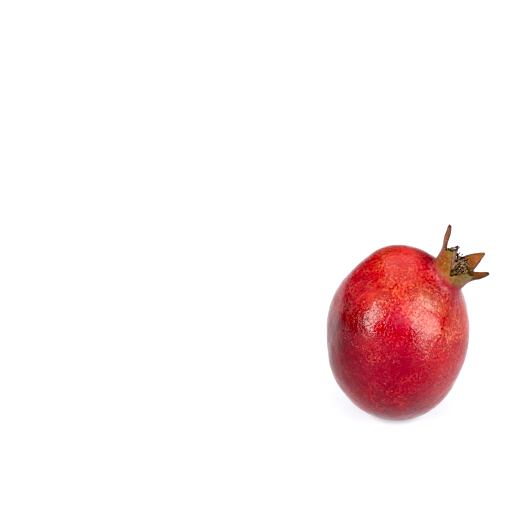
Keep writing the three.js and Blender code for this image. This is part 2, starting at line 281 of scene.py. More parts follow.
def tear(index, share, x):
    """How far a sepal's tip is torn in and out."""
    rng = np.random.default_rng(40 + index)
    waves = sum(rng.uniform(-1, 1) * np.sin(share * f + rng.uniform(0, 6)) for f in (9, 17, 31, 47))
    return SEPALS[index]["ragged"] * x ** 6 * waves


def sepal_faces(index):
    """A sepal's outer and inner face as rows of points, its ways across, root heights and fold."""
    shape, (at, width, up, next_up) = SEPALS[index], sepal_span(index)
    root_up = (up + next_up) / 2
    root_radius = trumpet(root_up)
    place, ahead, across, face = spine(shape, root_up, np.array(radians(at + width / 2)))
    x = np.linspace(0, 1, SEPAL_ROWS + 1)[:, None]
    share = np.linspace(0, 1, width + 1)
    side = 2 * share - 1

    # How wide it is from row to row, and how far each point is from the middle line
    half = mix(root_radius * radians(width) / 2, shape["tip"], x ** shape["narrows"])
    half = half * (1 - shape["point"] * soft_step(0.86, 1, x))
    grown = soft_step(0, 0.8, x)
    far = side * half + shape["widen"] * grown * np.clip(side, 0, 1) ** 2

    # The far margin turns in past its fold, on top of the sepal's own curve
    past_fold = far - (far[:, -1:] - shape["margin"] * mix(0.25, 1, grown))
    folded = radians(shape["fold"]) * soft_step(0, 0.3, x) * soft_step(-0.8, 0.8, past_fold)
    slope = far / mix(root_radius, shape["curl"], x) + folded
    run, drop = cross_curve(far, slope)
    outer = (place[:, None] + across[:, None] * run[..., None] - face[:, None] * drop[..., None]
             + ahead[:, None] * (shape["slant"] * x * side + tear(index, share, x))[..., None])

    # At its root it has the neck's own shape and thickness, and it thins toward its tip and its edges
    root_ups, root_angles = mix(up, next_up, share), np.radians(at + width * share)
    outer += (wall_point(root_ups, root_angles) - outer[0]) * (1 - x)[..., None]
    normal = face[:, None] * np.cos(slope)[..., None] + across[:, None] * np.sin(slope)[..., None]
    normal = unit(mix(wall_normal(root_ups, root_angles)[None], normal, soft_step(0, 0.35, x)[..., None]))
    thick = mix(WALL, TIP_THICKNESS, x)
    thick = mix(thick, np.minimum(thick, shape["edge"]), side ** 4 * soft_step(0, 0.3, x))
    return outer, outer - normal * thick[..., None], across, root_ups, past_fold


def tone(red, green, blue):
    """A colour by its screen values from 0 to 255."""
    return np.array([c / 255 / 12.92 if c < 10 else ((c / 255 + 0.055) / 1.055) ** 2.4
                     for c in (red, green, blue)])


# The ground colour of the rind, and its blushes, some of which are painted light and shade: where they face,
# their colour, weight and spread
GROUND_RED = tone(114, 2, 26)
BLUSHES_AND_PAINTED_LIGHT = [
    ((-115, 84), tone(190, 42, 38), 4, 18),
    ((-98, 70), tone(130, 6, 16), 4.5, 9),
    ((-72, 60), tone(138, 52, 42), 3.5, 12),
    ((-168, 62), tone(136, 0, 30), 2.5, 15),
    # A painted highlight: the hollow beside the neck, which the crown shades, is lightened
    ((-4, 75), tone(236, 92, 92), 6, 10),
    ((-54, 52), tone(128, 78, 50), 4.5, 11),
    ((-36, 2), tone(112, 0, 2), 4, 10),
    ((-41, 9), tone(112, 0, 4), 6, 6),
    # Painted shade: a broad dark patch over the left side
    ((-148, 4), tone(56, 0, 6), 4, 30),
    ((-122, 62), tone(134, 12, 22), 3.5, 10),
    ((-118, 49), tone(140, 62, 50), 3, 8),
    ((-140, 52), tone(132, 50, 58), 3.5, 11),
    ((-120, 14), tone(124, 4, 18), 2.5, 8),
    ((-97, 28), tone(120, 2, 26), 3, 14),
    # A painted highlight: a pink sheen between the two softbox highlights
    ((-91, 39), tone(136, 54, 68), 5, 7),
    ((-92, 2), tone(92, 0, 20), 3, 16),
    ((-30, 39), tone(148, 2, 22), 5, 6),
    ((-23, 48), tone(96, 26, 34), 9, 6),
    ((-38, 28), tone(138, 56, 24), 3.5, 8),
    ((-12, 22), tone(150, 54, 2), 4, 12),
    ((-46, 10), tone(124, 0, 10), 5, 15),
    ((-50, -12), tone(118, 6, 26), 2.5, 18),
    ((-118, -6), tone(106, 12, 34), 2.5, 12),
    # Partly painted shade: the lower front is darkened, over its own dusky tone
    ((-93, -40), tone(66, 0, 20), 3, 26),
    ((100, 35), tone(142, 28, 30), 2, 34),
    ((30, -16), tone(112, 4, 24), 2, 34),
    ((159, -57), tone(140, 62, 44), 2, 16),
]
# How freckled and how streaked the rind is: everywhere, and where, how much of each, weight and spread
GROUND_MARKS = (0.4, 0.2)
MARKS = [
    ((-48, 16), (1.0, 0.6), 5, 20),
    ((-75, 56), (0.8, 0.7), 4, 16),
    ((-155, 58), (0.5, 1.0), 5, 22),
    ((-110, 84), (0.3, 0.6), 4, 16),
    ((-96, 20), (0.5, 0.0), 5, 12),
    ((-92, 2), (0.1, 0.0), 6, 11),
    ((-114, 8), (0.9, 0.1), 5, 8),
    ((-92, -24), (0.8, 0.1), 4, 14),
    ((-24, 47), (0.1, 0.0), 8, 8),
    ((-36, 6), (0.6, 0.0), 6, 10),
    ((-41, 9), (0.4, 0.0), 8, 6),
    ((-52, -12), (1.0, 0.1), 4, 16),
    ((-146, 4), (0.1, 0.0), 5, 26),
    ((-93, -56), (0.4, 0.0), 4, 20),
    ((90, 20), (0.7, 0.6), 4, 60),
]
# The neck is pink, with a duller blush above it, and both are dusky on one side
NECK_PINK, NECK_BLUSH, NECK_DUSK = tone(176, 14, 46), tone(146, 66, 72), tone(64, 18, 28)
DUSKY_SIDE = radians(318)
# Sepals outside at the root, outside at the tip, and inside
SEPAL_TONES = [
    (tone(100, 60, 40), tone(60, 36, 26), tone(130, 72, 46)),
    (tone(110, 60, 36), tone(84, 44, 28), tone(142, 72, 34)),
    (tone(108, 60, 42), tone(84, 50, 36), tone(110, 76, 52)),
    (tone(132, 66, 50), tone(108, 52, 44), tone(120, 74, 54)),
    (tone(124, 64, 32), tone(104, 80, 20), tone(134, 98, 84)),
    (tone(96, 72, 40), tone(88, 84, 46), tone(110, 92, 64)),
]
FOLD_TONE, CUP_BROWN = tone(104, 74, 60), tone(150, 112, 78)


def spread_out(points, ground, spots):
    """Values that blend over the rind from spot to spot."""
    way = unit(points - BODY_CENTRE)
    total, weights = np.tile(np.float64(ground), (len(points), 1)), np.ones(len(points))
    for where, value, weight, spread in spots:
        share = weight * mound(way @ facing(*where), spread)
        total += share[:, None] * value
        weights += share
    return total / weights[:, None]


def root_tone(angle):
    """The neck's colour under the sepals, which changes softly from one to the next."""
    stops, tones = [], []
    for index, (outside, _, _) in enumerate(SEPAL_TONES):
        at, width, _, _ = sepal_span(index)
        stops += [at + 6, at + width - 6]
        tones += [outside, outside]
    return np.stack([np.interp(np.degrees(angle), stops, channel, period=360)
                     for channel in np.transpose(tones)], -1)


# What each point keeps for the skin's colours: its broad tint, painted light and shade included, where it is
# on the skin as it grew, how far it is from a sepal's edge, how dry it is, and its rise
notes = dict(tint=[], grow=[], edge=[], dry=[], rise=[])
FAR_FROM_EDGE = 9.0
# Streaks and veins are drawn on a cylinder of this radius that is squeezed to this share of its
# length, so that they run from the stub to the crown
GROW_RADIUS, GROW_SQUEEZE = 22, 0.08
vertices, faces = [], []


def add(points, rise, angle, tint, dry=1.0, edge=FAR_FROM_EDGE):
    """Keeps points with their notes, and gives their numbers."""
    first, count = len(vertices), len(points)
    rise, angle = np.broadcast_to(rise, count), np.broadcast_to(angle, count)
    vertices.extend(points)
    notes["tint"].extend(np.c_[np.broadcast_to(tint, (count, 3)), np.ones(count)])
    notes["grow"].extend(np.c_[np.cos(angle) * GROW_RADIUS, np.sin(angle) * GROW_RADIUS, rise * GROW_SQUEEZE])
    notes["edge"].extend(np.broadcast_to(edge, count))
    notes["dry"].extend(np.broadcast_to(dry, count))
    notes["rise"].extend(rise)
    return np.arange(first, first + count)


def strip(faces, low, high, closed=True):
    """Four-sided faces between two rows of points."""
    for j in range(len(low) if closed else len(low) - 1):
        k = (j + 1) % len(low)
        faces.append((low[j], low[k], high[k], high[j]))


def fan(faces, row, tip):
    """Three-sided faces between a closed row of points and the point that ends it."""
    for j in range(len(row)):
        faces.append((row[j], row[(j + 1) % len(row)], tip))


dusky = soft_step(-0.2, 0.9, np.cos(ring - DUSKY_SIDE))[:, None]
outer_rows = []
for points, rise in outer_rings:
    height = np.broadcast_to(rise, RING)[:, None]
    colour = spread_out(points, GROUND_RED, BLUSHES_AND_PAINTED_LIGHT)
    colour = mix(colour, mix(NECK_PINK, NECK_DUSK, dusky), 0.85 * soft_step(-9, -3, height))
    colour = mix(colour, mix(NECK_BLUSH, NECK_DUSK, dusky), soft_step(-4, 1, height))
    colour = mix(colour, root_tone(ring), soft_step(0, 5, height))
    outer_rows.append(add(points, rise, ring, colour, soft_step(0, 6, height[:, 0])))
stub_end = add([stub_foot - FRUIT[0] * STUB_MIDDLE], STUB_RISE, 0, GROUND_RED)[0]
for low, high in zip(outer_rows, outer_rows[1:]):
    strip(faces, low, high)
fan(faces, outer_rows[0][::-1], stub_end)

# The cup, from the rim down its wall and in over its floor: each of the floor's rings by its radius
# and height
CUP_WALL, CUP_ROWS = 1.95, 7
CUP_FLOOR = [(9, 1.2), (8.8, 0.4), (8, -0.2), (6, -1), (3, -0.6), (1, -0.6)]
cup_rings = [(wall_point(rim, ring) - wall_normal(rim, ring) * WALL, rim)]
for share in np.linspace(1, 0.2, CUP_ROWS + 1)[1:]:
    cup_rings.append((crown_point(trumpet(rim * share) - CUP_WALL, rim * share, ring), rim * share))
for out, up in CUP_FLOOR:
    cup_rings.append((crown_point(np.full(RING, out), np.full(RING, up), ring), 0))
cup_rows = [add(points, rise, ring, CUP_BROWN) for points, rise in cup_rings]
cup_middle = add([NECK_BASE + CROWN[0] * CUP_FLOOR[-1][1]], 0, 0, CUP_BROWN)[0]
for low, high in zip(cup_rows, cup_rows[1:]):
    strip(faces, low, high)
fan(faces, cup_rows[-1], cup_middle)

# Rounded edges between the outer and the inner face: first in the splits, then round each sepal
EDGE_POINTS, EDGE_BULGE = 3, 0.3
rim_row, inner_row = outer_rows[-1], cup_rows[0]
round_edge = ((np.arange(EDGE_POINTS) + 1) / (EDGE_POINTS + 1))[:, None]
split_rows = []
for at, up in SPLITS:
    points = mix(vertices[rim_row[at % 360]], vertices[inner_row[at % 360]], round_edge)
    split_rows.append(add(points, up, radians(at), CUP_BROWN, 1, 0.4))


def from_margins(row):
    """How far the points of a sepal's row are from its two margins."""
    from_first = np.r_[0, np.cumsum(np.linalg.norm(np.diff(row, axis=0), axis=-1))]
    return np.minimum(from_first, from_first[-1] - from_first)


def add_sepal(index):
    """Adds a sepal row by row, from the rim to its tip, and closes the tip."""
    at, width, _, _ = sepal_span(index)
    outer, inner, across, root_ups, past_fold = sepal_faces(index)
    length, (_, tip_tone, inside_tone) = SEPALS[index]["length"], SEPAL_TONES[index]
    columns = at + np.arange(width + 1)
    angle, on_rim = np.radians(columns), columns % 360
    next_split = split_rows[(index + 1) % len(SPLITS)]
    previous = np.r_[rim_row[on_rim], next_split, inner_row[on_rim][::-1], split_rows[index][::-1]]
    for r in range(1, SEPAL_ROWS + 1):
        x = r / SEPAL_ROWS
        rise, to_tip = root_ups + x * length, (1 - x) * length + 0.1
        from_edge = np.minimum(from_margins(outer[r]) + 0.3, to_tip)
        from_fold = np.abs(past_fold[r]) + 0.4 if SEPALS[index]["fold"] else FAR_FROM_EDGE
        outside = mix(root_tone(angle), tip_tone, soft_step(0.1, 0.95, x))
        if SEPALS[index]["fold"]:
            outside = mix(outside, FOLD_TONE, soft_step(0, 0.8, past_fold[r])[:, None])
        inside = mix(CUP_BROWN, inside_tone, soft_step(0, 0.3, x))
        bulge = np.sin(round_edge * pi) * across[r] * EDGE_BULGE * min(1, x * 4)
        right = mix(outer[r, -1], inner[r, -1], round_edge) + bulge
        left = mix(outer[r, 0], inner[r, 0], round_edge) - bulge
        row = np.r_[add(outer[r], rise, angle, outside, 1, np.minimum(from_edge, from_fold)),
                    add(right, rise[-1], angle[-1], inside, 1, min(0.3, to_tip)),
                    add(inner[r][::-1], rise[::-1], angle[::-1], inside, 1, from_edge[::-1]),
                    add(left[::-1], rise[0], angle[0], inside, 1, min(0.3, to_tip))]
        strip(faces, previous, row)
        previous = row
    inner_first, inner_last = width + 1 + EDGE_POINTS, 2 * width + 1 + EDGE_POINTS
    strip(faces, previous[:width + 1], previous[inner_first:inner_last + 1][::-1], closed=False)
    faces.append(tuple(previous[width:inner_first + 1][::-1]))
    faces.append(tuple(np.r_[previous[inner_last:], previous[0]][::-1]))


for index in range(len(SEPALS)):
    add_sepal(index)

# The crown and the neck shrivelled as they dried, and the fruit's weight pressed its rest flat
SHRIVELS = [(7, 0.16), (2.6, 0.06)]         # how far apart, how deep
vertices = np.array(vertices)
notes["freckled"], notes["streaked"] = spread_out(vertices, GROUND_MARKS, MARKS).T
dried = soft_step(-4, 6, np.array(notes["rise"]))[:, None]
for wavelength, depth in SHRIVELS:
    wrinkled = np.stack([lumps(vertices, wavelength, 60 + axis) for axis in range(3)], -1)
    vertices += wrinkled * dried * depth
vertices[:, 2] = (vertices[:, 2] + np.sqrt(vertices[:, 2] ** 2 + REST_SOFTNESS ** 2)) / 2


def new_mesh(name, points, faces):
    """A mesh of points and faces, each face by the numbers of its points."""
    mesh = bpy.data.meshes.new(name)
    mesh.from_pydata(np.array(points).tolist(), [], [[int(i) for i in face] for face in faces])
    return mesh


skin = new_mesh("pomegranate", vertices * MM, faces)
KINDS = {"tint": ("FLOAT_COLOR", "color"), "grow": ("FLOAT_VECTOR", "vector")}
for name, values in notes.items():
    kind, field = KINDS.get(name, ("FLOAT", "value"))
    kept_note = skin.attributes.new(name, kind, "POINT")
    kept_note.data.foreach_set(field, np.array(values, np.float32).ravel())
shell = bmesh.new()
shell.from_mesh(skin)
bmesh.ops.recalc_face_normals(shell, faces=shell.faces)
shell.to_mesh(skin)
shell.free()
skin.polygons.foreach_set("use_smooth", [True] * len(skin.polygons))


def add_node(tree, kind, inputs=None, output=0, **settings):
    """Adds a node with its inputs, each a value or the output of another node, and its settings."""
    node = tree.nodes.new(kind)
    for setting, value in settings.items():
        setattr(node, setting, value)
    for name, value in (inputs or {}).items():
        if isinstance(value, bpy.types.NodeSocket):
            tree.links.new(value, node.inputs[name])
        else:
            node.inputs[name].default_value = value
    return node.outputs[output]


def new_material(name):
    """A material, its nodes, its shader and the place on the piece in millimetres."""
    material = bpy.data.materials.new(name)
    material.use_nodes = True
    tree = material.node_tree
    metres = add_node(tree, "ShaderNodeTexCoord", output="Object")
    place = add_node(tree, "ShaderNodeVectorMath", {0: metres, "Scale": 1 / MM}, operation="SCALE")
    return material, tree, tree.nodes["Principled BSDF"], place


def noted(tree, name, output="Fac"):
    """What the points of a piece keep under a name."""
    return add_node(tree, "ShaderNodeAttribute", output=output, attribute_name=name)


def calc(tree, operation, *values):
    """A sum, product or other reckoning with numbers."""
    return add_node(tree, "ShaderNodeMath", dict(enumerate(values)), operation=operation)


def product(tree, first, *others):
    """The product of the numbers given."""
    for other in others:
        first = calc(tree, "MULTIPLY", first, other)
    return first


def band(tree, value, start, end, low=0.0, high=1.0):
    """Goes smoothly from low to high while a value goes from start to end."""
    return add_node(tree, "ShaderNodeMapRange", {"Value": value, 1: start, 2: end, 3: low, 4: high},
                    interpolation_type="SMOOTHSTEP")


def noise(tree, where, size, detail=2.0, seed=0.0):
    """Soft noise from about 0.3 to 0.7 whose patches are of a size in millimetres."""
    moved = add_node(tree, "ShaderNodeVectorMath", {0: where, 1: (seed, seed * 0.7, -seed)}, operation="ADD")
    return add_node(tree, "ShaderNodeTexNoise", {"Vector": moved, "Scale": 1 / size, "Detail": detail})


def paint(*screen):
    """A plain colour by its screen values."""
    return (*tone(*screen), 1)


def blend(tree, share, under, over):
    """Lays one colour over another by a share from 0 to 1."""
    return add_node(tree, "ShaderNodeMix", {0: share, 6: under, 7: over}, 2, data_type="RGBA")


def stain(tree, under, screen, *shares):
    """Lays a paint over a colour by the product of shares from 0 to 1."""
    return blend(tree, product(tree, *shares), under, paint(*screen))


rind, nodes, shader, place = new_material("rind")
grow, tint = noted(nodes, "grow", "Vector"), noted(nodes, "tint", "Color")
rise, edge, dry = noted(nodes, "rise"), noted(nodes, "edge"), noted(nodes, "dry")
freckled, streaked = noted(nodes, "freckled"), noted(nodes, "streaked")
fresh = calc(nodes, "SUBTRACT", 1.0, dry)

# Broad clouds, then lengthwise streaks, some lighter and some darker
clouds = noise(nodes, place, 11, 3, 5)
colour = stain(nodes, tint, (186, 34, 32), band(nodes, clouds, 0.46, 0.64, 0, 0.4), streaked, fresh)
streaks = noise(nodes, grow, 0.7, 4, 9)
colour = stain(nodes, colour, (192, 60, 52), band(nodes, streaks, 0.5, 0.72, 0, 0.55), streaked, fresh)
colour = stain(nodes, colour, (112, 0, 20), band(nodes, streaks, 0.46, 0.3, 0, 0.6), fresh)

# The skin's small plates: cells with wavy sides, by how far each place is from its cell's side
sway = add_node(nodes, "ShaderNodeTexNoise", {"Vector": place, "Scale": 1 / 1.5, "Detail": 2.0}, "Color")
swayed = add_node(nodes, "ShaderNodeVectorMath", {0: sway, 1: (1.6, 1.6, 1.6), 2: place},
                  operation="MULTIPLY_ADD")
creases = add_node(nodes, "ShaderNodeTexVoronoi", {"Vector": swayed, "Scale": 1 / 2.6}, "Distance",
                   feature="DISTANCE_TO_EDGE")

# Freckles: crimson, orange and pale specks, bunched in loose patches, and dark seams between plates
patches = band(nodes, noise(nodes, place, 7, 3, 2), 0.38, 0.6, 0.3, 1)
speckled = product(nodes, patches, fresh, freckled)
dots = add_node(nodes, "ShaderNodeTexNoise",
                {"Vector": place, "Scale": 1 / 1.15, "Detail": 4.0, "Distortion": 0.4})
colour = stain(nodes, colour, (106, 0, 18), band(nodes, dots, 0.5, 0.4, 0, 0.9), speckled)
colour = stain(nodes, colour, (90, 0, 14), band(nodes, creases, 0.16, 0.04, 0, 0.8), speckled, freckled)
colour = stain(nodes, colour, (204, 58, 50), band(nodes, dots, 0.52, 0.6, 0, 0.4), speckled)
flecks = noise(nodes, place, 1.0, 2, 21)
colour = stain(nodes, colour, (220, 116, 92), band(nodes, flecks, 0.58, 0.68, 0, 0.3), speckled)

# Pale scratches: thin broken lines where a soft noise crosses its middle
crossing = calc(nodes, "ABSOLUTE", calc(nodes, "SUBTRACT", noise(nodes, place, 2.4, 2, 21), 0.5))
broken = product(nodes, band(nodes, crossing, 0.045, 0.01), band(nodes, dots, 0.42, 0.54))
scraped = band(nodes, noise(nodes, place, 5, 2, 22), 0.46, 0.58, 0, 0.6)
colour = stain(nodes, colour, (208, 126, 86), broken, scraped, speckled, band(nodes, streaked, 0.15, 0.5))

# Yellow-orange mottled arc round the foot of the neck
arc = product(nodes, band(nodes, rise, -29, -23), band(nodes, rise, -15, -20))
mottled = band(nodes, noise(nodes, place, 1.4, 4, 7), 0.48, 0.66, 0, 0.45)
colour = stain(nodes, colour, (190, 106, 66), arc, mottled)

# Pink and crimson blotches on the neck, where the fresh skin gives way to the dried crown
necked = product(nodes, band(nodes, rise, -11, -6), band(nodes, rise, 4, 0))
blotches = noise(nodes, place, 1.2, 3, 23)
colour = stain(nodes, colour, (158, 70, 72), band(nodes, blotches, 0.54, 0.68, 0, 0.5), necked)
colour = stain(nodes, colour, (122, 0, 28), band(nodes, blotches, 0.53, 0.4, 0, 0.8), necked)

# The dried crown: olive and brown clouds, fine grain and veins, dark edges
olive = noise(nodes, place, 3.6, 3, 4)
colour = stain(nodes, colour, (98, 82, 26), band(nodes, olive, 0.48, 0.62, 0, 0.5), dry)
grain = noise(nodes, place, 1.0, 4, 15)
colour = stain(nodes, colour, (168, 134, 90), band(nodes, grain, 0.52, 0.7, 0, 0.45), dry)
colour = stain(nodes, colour, (64, 42, 26), band(nodes, grain, 0.48, 0.34, 0, 0.5), dry)
veins = product(nodes, band(nodes, noise(nodes, grow, 0.7, 3, 6), 0.5, 0.66, 0, 0.5), dry)
colour = stain(nodes, colour, (74, 40, 28), veins)
uneven = calc(nodes, "MULTIPLY_ADD", noise(nodes, place, 0.7, 2, 8), -2.2, 1.1)
from_edge = calc(nodes, "ADD", edge, uneven)
colour = stain(nodes, colour, (34, 19, 16), band(nodes, from_edge, 1.05, 0.35, 0, 0.92))

# The woody stub
wood = blend(nodes, noise(nodes, place, 0.5, 3, 1), paint(70, 48, 34), paint(150, 116, 82))
colour = blend(nodes, band(nodes, rise, STUB_RISE + 30, STUB_RISE + 5), colour, wood)
nodes.links.new(colour, shader.inputs["Base Color"])

# Leathery grain: small flat plates with fine creases between them, over soft unevenness
GRAIN_DEPTH = 0.12 * MM
cracked = band(nodes, noise(nodes, place, 9, 2, 14), 0.4, 0.6, 0.2, 0.7)
plates = product(nodes, band(nodes, creases, 0.0, 0.14), cracked)
pores = product(nodes, noise(nodes, place, 0.9, 1, 11), 0.12)
swells = product(nodes, noise(nodes, place, 3.2, 2, 12), 1.5)
wrinkles = product(nodes, veins, -2.0)
relief = calc(nodes, "ADD", calc(nodes, "ADD", plates, pores), calc(nodes, "ADD", swells, wrinkles))
bump = add_node(nodes, "ShaderNodeBump", {"Height": relief, "Distance": GRAIN_DEPTH, "Strength": 1.0})
nodes.links.new(bump, shader.inputs["Normal"])

# A waxy shine, uneven in patches, that the dried crown lacks
waxy = band(nodes, noise(nodes, place, 6, 3, 13), 0.35, 0.65, 0.11, 0.15)
nodes.links.new(calc(nodes, "ADD", waxy, band(nodes, rise, -10, 2, 0, 0.35)), shader.inputs["Roughness"])
shader.inputs["Specular IOR Level"].default_value = 0.25


def put(name, data):
    """An object with that mesh, light or camera, in the scene."""
    thing = bpy.data.objects.new(name, data)
    bpy.context.scene.collection.objects.link(thing)
    return thing


skin.materials.append(rind)
pomegranate = put("pomegranate_fruit", skin)
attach(pomegranate, "root")
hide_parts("pomegranate")


# ---- Stamens ---------------------------------------------------------------------------------
# What is left of the flower: a low pad on the floor of the cup and the dried stamens that stand
# on it, each a thin kinked filament with a dark anther at its end. They grew there and dried.

# Millimetres from the neck's base, and degrees round the crown. Those on the pad are tallest in its
# middle, and the rest stand along one side of the cup's wall.
STAMENS = {
    "Count": 92, "Spread": 7.2, "Root Height": 1.0, "Top Middle": 12.5, "Top Edge": 7.4, "Splay": 1.0,
    "Shift": 1.2, "Shift Way": 250.0, "Lean": 0.6,
    "Wall Count": 22, "Wall Radius": 9.6, "Wall Tip Radius": 7.8, "Wall From": 140.0, "Wall To": 262.0,
    "Wall Root": 5.0, "Wall Top": 13.0,
    "Top Stray": 2.6, "Tip Stray": 1.1, "Bow": 1.1, "Kink": 1.3,
    "Filament Radius": 0.26, "Anther Radius": 0.52, "Anther Length": 1.7, "Seed": 7,
}

tuft = bpy.data.node_groups.new("stamen_tuft", "GeometryNodeTree")
tuft.is_modifier = True
kinds = {"Geometry": "Geometry", "Material": "Material"}
kinds |= {name: "Int" if isinstance(value, int) else "Float" for name, value in STAMENS.items()}
sockets = {name: tuft.interface.new_socket(name, in_out="INPUT", socket_type="NodeSocket" + kind)
           for name, kind in kinds.items()}
tuft.interface.new_socket("Geometry", in_out="OUTPUT", socket_type="NodeSocketGeometry")
given = tuft.nodes.new("NodeGroupInput").outputs


def vector_calc(operation, *vectors):
    """A sum, product or other reckoning with vectors."""
    return add_node(tuft, "ShaderNodeVectorMath", dict(enumerate(vectors)), operation=operation)


def scaled(vector, scale):
    """A vector made longer or shorter."""
    return add_node(tuft, "ShaderNodeVectorMath", {0: vector, "Scale": scale}, operation="SCALE")


def xyz(x, y, z):
    """A vector out of its three numbers."""
    return add_node(tuft, "ShaderNodeCombineXYZ", {0: x, 1: y, 2: z})


def level(angle):
    """The direction square to the crown's axis at an angle round it."""
    return xyz(calc(tuft, "COSINE", angle), calc(tuft, "SINE", angle), 0.0)


def stray(reach, salt):
    """A random number between minus and plus a reach, its own for each stamen."""
    seed = calc(tuft, "ADD", given["Seed"], salt)
    low = calc(tuft, "MULTIPLY", reach, -1.0)
    return add_node(tuft, "FunctionNodeRandomValue", {2: low, 3: reach, "Seed": seed}, 1, data_type="FLOAT")


def ramp(share, start, end):
    """Goes evenly from start to end while a share goes from 0 to 1."""
    return add_node(tuft, "ShaderNodeMapRange", {"Value": share, 3: start, 4: end})


# The stamens on the pad come first, in the order of a sunflower's seeds, then those on the wall
GOLDEN_ANGLE = pi * (3 - sqrt(5))
number = add_node(tuft, "GeometryNodeInputIndex")
share = calc(tuft, "DIVIDE", calc(tuft, "ADD", number, 0.5), given["Count"])
wall_number = calc(tuft, "SUBTRACT", number, given["Count"])
wall_share = calc(tuft, "DIVIDE", calc(tuft, "ADD", wall_number, 0.5), given["Wall Count"])
on_wall = calc(tuft, "GREATER_THAN", share, 1.0)


def either(inner, wall):
    """One value for the stamens on the pad and another for those on the cup's wall."""
    return add_node(tuft, "ShaderNodeMix", {0: on_wall, 2: inner, 3: wall})


wall_from, wall_to = calc(tuft, "RADIANS", given["Wall From"]), calc(tuft, "RADIANS", given["Wall To"])
way = level(either(calc(tuft, "MULTIPLY", number, GOLDEN_ANGLE), ramp(wall_share, wall_from, wall_to)))
shifted = scaled(level(calc(tuft, "RADIANS", given["Shift Way"])), either(given["Shift"], 0.0))
out = either(calc(tuft, "MULTIPLY", given["Spread"], calc(tuft, "SQRT", share)), given["Wall Radius"])
root = vector_calc("ADD", vector_calc("ADD", scaled(way, out), shifted),
                   xyz(0.0, 0.0, either(given["Root Height"], given["Wall Root"])))
tip_out = either(calc(tuft, "MULTIPLY", out, given["Splay"]), given["Wall Tip Radius"])
top = either(ramp(share, given["Top Middle"], given["Top Edge"]), given["Wall Top"])
lean = either(calc(tuft, "MULTIPLY", given["Lean"], calc(tuft, "SUBTRACT", share, 1.0)), 0.0)
strayed = xyz(calc(tuft, "ADD", lean, stray(given["Tip Stray"], 2)), stray(given["Tip Stray"], 3),
              calc(tuft, "ADD", top, stray(given["Top Stray"], 1)))
tip = vector_calc("ADD", scaled(way, tip_out), vector_calc("ADD", strayed, shifted))
points = add_node(tuft, "GeometryNodePoints", {
    "Count": calc(tuft, "ADD", given["Count"], given["Wall Count"]), "Position": root})


def keep(geometry, name, value, kind="FLOAT"):
    """Keeps a value with each point under a name."""
    inputs = {"Geometry": geometry, "Name": name, "Value": value}
    return add_node(tuft, "GeometryNodeStoreNamedAttribute", inputs, data_type=kind, domain="POINT")


def kept(name):
    """A vector that was kept under a name."""
    return add_node(tuft, "GeometryNodeInputNamedAttribute", {"Name": name}, data_type="FLOAT_VECTOR")


points = keep(points, "tip_at", tip, "FLOAT_VECTOR")
points = keep(points, "root_at", root, "FLOAT_VECTOR")
points = keep(points, "shade", stray(1.0, 4))
middle = scaled(vector_calc("ADD", kept("root_at"), kept("tip_at")), 0.5)
middle = vector_calc("MULTIPLY", middle, xyz(given["Bow"], given["Bow"], 1.0))
ahead = vector_calc("NORMALIZE", vector_calc("SUBTRACT", kept("tip_at"), middle))

# Filaments: straight lines bent over their bowed middle to their own tip, with small kinks
FILAMENT_POINTS, FILAMENT_SIDES = 10, 5
line = add_node(tuft, "GeometryNodeCurvePrimitiveLine", {"Start": (0, 0, 0), "End": (0, 0, 1)})
line = add_node(tuft, "GeometryNodeResampleCurve", {"Curve": line, "Count": FILAMENT_POINTS})
lines = add_node(tuft, "GeometryNodeInstanceOnPoints", {"Points": points, "Instance": line})
lines = add_node(tuft, "GeometryNodeRealizeInstances", {"Geometry": lines})
along = add_node(tuft, "GeometryNodeSplineParameter")
left = calc(tuft, "SUBTRACT", 1.0, along)
bow_share = product(tuft, along, left, 2.0)
bent = vector_calc("ADD", scaled(kept("root_at"), product(tuft, left, left)), scaled(middle, bow_share))
bent = vector_calc("ADD", bent, scaled(kept("tip_at"), product(tuft, along, along)))
kink_at = vector_calc("ADD", scaled(bent, 0.35), scaled(kept("root_at"), 3.0))
kinks = add_node(tuft, "ShaderNodeTexNoise", {"Vector": kink_at, "Scale": 1.0, "Detail": 1.0}, "Color")
kinks = scaled(vector_calc("SUBTRACT", kinks, (0.5, 0.5, 0.5)), product(tuft, given["Kink"], bow_share, 2.0))
lines = add_node(tuft, "GeometryNodeSetPosition",
                 {"Geometry": lines, "Position": vector_calc("ADD", bent, kinks)})
section = add_node(tuft, "GeometryNodeCurvePrimitiveCircle",
                   {"Resolution": FILAMENT_SIDES, "Radius": given["Filament Radius"]})
thinning = ramp(along, 1.2, 0.8)
filaments = add_node(tuft, "GeometryNodeCurveToMesh",
                     {"Curve": lines, "Profile Curve": section, "Scale": thinning, "Fill Caps": True})

# Anthers: small flattened beans, each lying its own way on the end of its filament
bean = add_node(tuft, "GeometryNodeMeshUVSphere", {"Segments": 7, "Rings": 5, "Radius": 1.0})
half_length, fat = calc(tuft, "MULTIPLY", given["Anther Length"], 0.5), given["Anther Radius"]
size = scaled(xyz(fat, calc(tuft, "MULTIPLY", fat, 0.8), half_length), calc(tuft, "ADD", 1.0, stray(0.25, 8)))
lying = vector_calc("ADD", ahead, xyz(stray(0.8, 5), stray(0.8, 6), 0.0))
turned = add_node(tuft, "FunctionNodeAlignRotationToVector", {"Vector": lying}, axis="Z")
bean_at = vector_calc("ADD", kept("tip_at"), scaled(ahead, calc(tuft, "MULTIPLY", half_length, 0.5)))
tips = add_node(tuft, "GeometryNodeSetPosition", {"Geometry": points, "Position": bean_at})
beans = add_node(tuft, "GeometryNodeInstanceOnPoints",
                 {"Points": tips, "Instance": keep(bean, "anther", 1.0), "Rotation": turned, "Scale": size})

